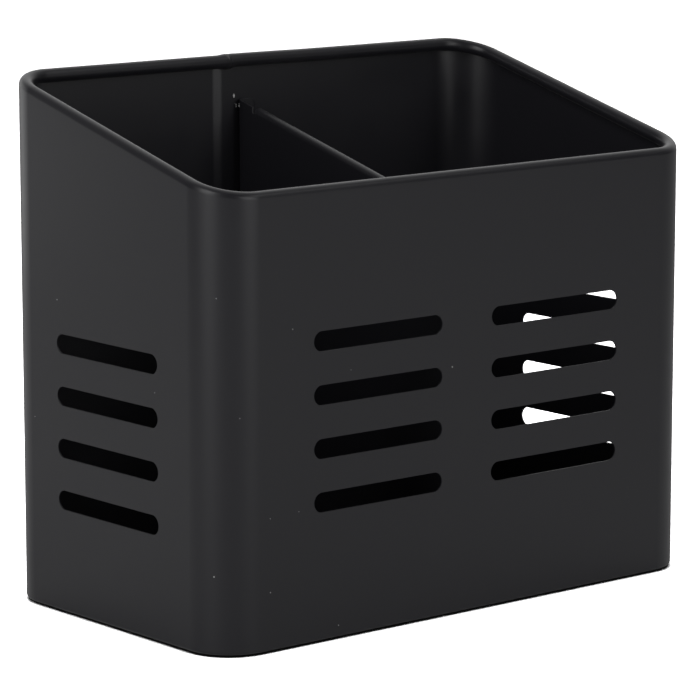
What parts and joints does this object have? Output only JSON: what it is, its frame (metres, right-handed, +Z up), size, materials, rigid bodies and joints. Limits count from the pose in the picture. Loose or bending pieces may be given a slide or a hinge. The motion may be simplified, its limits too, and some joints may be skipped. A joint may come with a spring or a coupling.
{
  "type": "utensil holder",
  "caption": "Free-standing countertop utensil holder in black powder-coated bent steel, with a sloping rolled rim, slotted walls and a divider between its compartments.",
  "frame": {"origin": "on the table under the centre of the holder, in the plane of the rubber pads' undersides", "axes": "+Z up; +X to the right along the front wall, the longest side; the low front wall faces -Y and the high back wall faces +Y"},
  "size_m": [0.178, 0.1004, 0.1522],
  "materials": {
    "black_powder_coat": "satin black powder coat on mild steel sheet",
    "pad_rubber": "matte black rubber"
  },
  "bodies": {
    "root": {"body": "black_powder_coat", "divider": "black_powder_coat", "base_plate": "black_powder_coat", "pad_front_left": "pad_rubber", "pad_front_right": "pad_rubber", "pad_back_left": "pad_rubber", "pad_back_right": "pad_rubber"}
  },
  "joints": []
}
